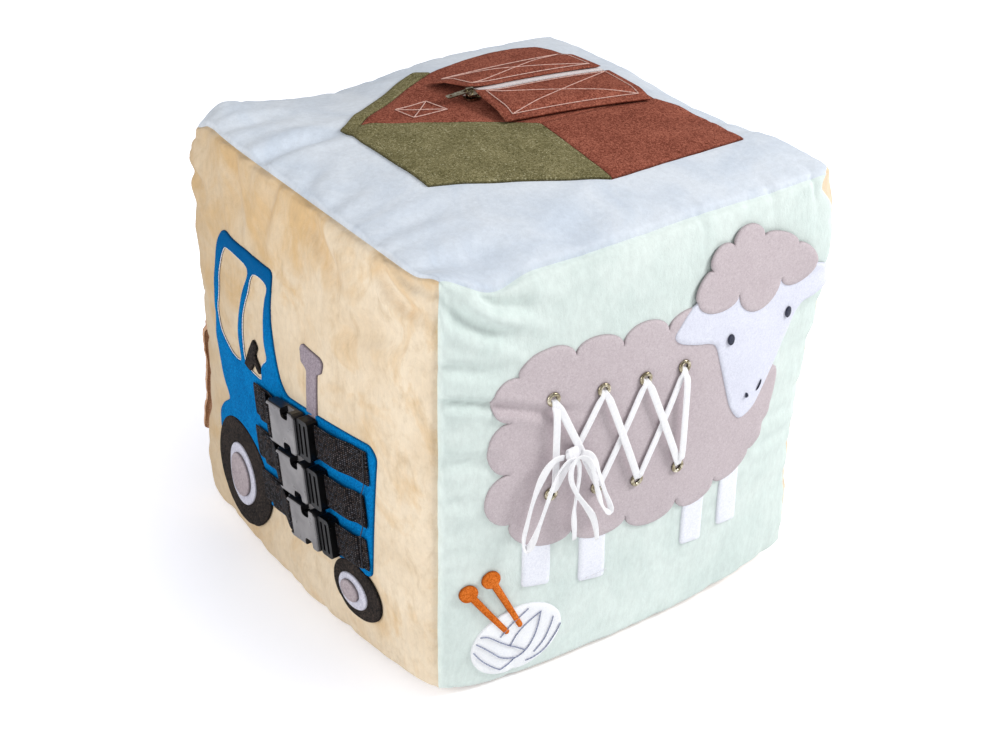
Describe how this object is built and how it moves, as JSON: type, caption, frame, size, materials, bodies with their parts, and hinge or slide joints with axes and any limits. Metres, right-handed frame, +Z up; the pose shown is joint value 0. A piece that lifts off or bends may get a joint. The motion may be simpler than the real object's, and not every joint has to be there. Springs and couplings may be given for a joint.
{
  "type": "soft fabric activity block",
  "caption": "Soft fabric cube for a small child: felt tractor with buckled straps, felt sheep laced through eyelets with a bow, and a barn on top with zipped doors.",
  "frame": {"origin": "middle of the flat area under the cube that it rests on", "axes": "+Z up; +X towards the face with the sheep; -Y towards the face with the tractor"},
  "size_m": [0.2876, 0.2905, 0.2712],
  "materials": {
    "foam": "soft open foam, unseen inside the cover",
    "cream_plush": "short soft pile with faint ochre mottling",
    "mint_plush": "short soft pile",
    "sky_plush": "short soft pile",
    "blue_felt": "matt pressed felt",
    "black_felt": "matt pressed felt",
    "grey_felt": "matt pressed felt",
    "white_felt": "matt pressed felt",
    "sheep_felt": "matt pressed felt",
    "roof_felt": "flecked pressed felt",
    "barn_felt": "flecked pressed felt",
    "orange_felt": "matt pressed felt",
    "tan_felt": "matt pressed felt",
    "black_webbing": "ribbed woven webbing",
    "cotton_lace": "flat woven cotton lace",
    "zip_tape": "woven tape with a nylon coil",
    "grey_plastic": "satin moulded plastic",
    "black_plastic": "satin moulded plastic",
    "antique_metal": "dull antique plating"
  },
  "bodies": {
    "block": {"foam_core": "foam", "front_panel": "cream_plush", "back_panel": "cream_plush", "left_panel": "cream_plush", "bottom_panel": "cream_plush", "right_panel": "mint_plush", "top_panel": "sky_plush", "tractor_body": "blue_felt", "gear_lever": "black_felt", "rear_tyre": "black_felt", "front_tyre": "black_felt", "exhaust_pipe": "grey_felt", "rear_hub": "grey_felt", "front_hub": "grey_felt", "rear_rim": "white_felt", "front_rim": "white_felt", "sheep_face": "white_felt", "sheep_leg_1": "white_felt", "sheep_leg_2": "white_felt", "sheep_leg_3": "white_felt", "sheep_leg_4": "white_felt", "wool_ball": "white_felt", "strap_left_1": "black_webbing", "strap_left_2": "black_webbing", "strap_left_3": "black_webbing", "strap_right_1": "black_webbing", "strap_right_2": "black_webbing", "strap_right_3": "black_webbing", "buckle_socket_1": "grey_plastic", "buckle_socket_2": "grey_plastic", "buckle_socket_3": "grey_plastic", "sheep_body": "sheep_felt", "sheep_forelock": "sheep_felt", "eyelet_1": "antique_metal", "eyelet_2": "antique_metal", "eyelet_3": "antique_metal", "eyelet_4": "antique_metal", "eyelet_5": "antique_metal", "eyelet_6": "antique_metal", "eyelet_7": "antique_metal", "eyelet_8": "antique_metal", "sheep_lace": "cotton_lace", "lace_end_left": "cotton_lace", "lace_end_right": "cotton_lace", "lace_knot": "cotton_lace", "knitting_needle_1": "orange_felt", "knitting_needle_2": "orange_felt", "barn_front_wall": "barn_felt", "barn_side_wall": "barn_felt", "barn_roof": "roof_felt", "side_felt_trim": "tan_felt"},
    "plug_1": {"buckle_plug_1": "black_plastic"},
    "plug_2": {"buckle_plug_2": "black_plastic"},
    "plug_3": {"buckle_plug_3": "black_plastic"},
    "left_door": {"door_left": "barn_felt", "zip_tape_left": "zip_tape"},
    "right_door": {"door_right": "barn_felt", "zip_tape_right": "zip_tape"},
    "slider": {"zip_slider": "antique_metal"},
    "pull": {"zip_pull": "antique_metal"}
  },
  "joints": [
    {"name": "plug_1_slide", "type": "slide", "parent": "block", "child": "plug_1", "axis": [0.9924, 0.0182, 0.122], "range_m": [0, 0.017]},
    {"name": "plug_2_slide", "type": "slide", "parent": "block", "child": "plug_2", "axis": [0.9922, 0.0223, 0.1226], "range_m": [0, 0.017]},
    {"name": "plug_3_slide", "type": "slide", "parent": "block", "child": "plug_3", "axis": [0.992, 0.0273, 0.123], "range_m": [0, 0.017]},
    {"name": "left_door_hinge", "type": "hinge", "parent": "block", "child": "left_door", "pos_m": [-0.06938, -0.00375, 0.26258], "axis": [0.0322, -0.9995, 0], "range_deg": [0, 100]},
    {"name": "right_door_hinge", "type": "hinge", "parent": "block", "child": "right_door", "pos_m": [0.00563, -0.00125, 0.26493], "axis": [0.0923, 0.9957, 0], "range_deg": [0, 100]},
    {"name": "zip_travel", "type": "hinge", "parent": "left_door", "child": "slider", "pos_m": [-0.0361, 0.00414, -0.68645], "axis": [-0.9993, 0.0366, 0], "range_deg": [0, 5.24]},
    {"name": "pull_swing", "type": "hinge", "parent": "slider", "child": "pull", "pos_m": [-0.03617, 0.00229, 0.26889], "axis": [-0.9993, 0.0366, 0], "range_deg": [0, 190]}
  ]
}
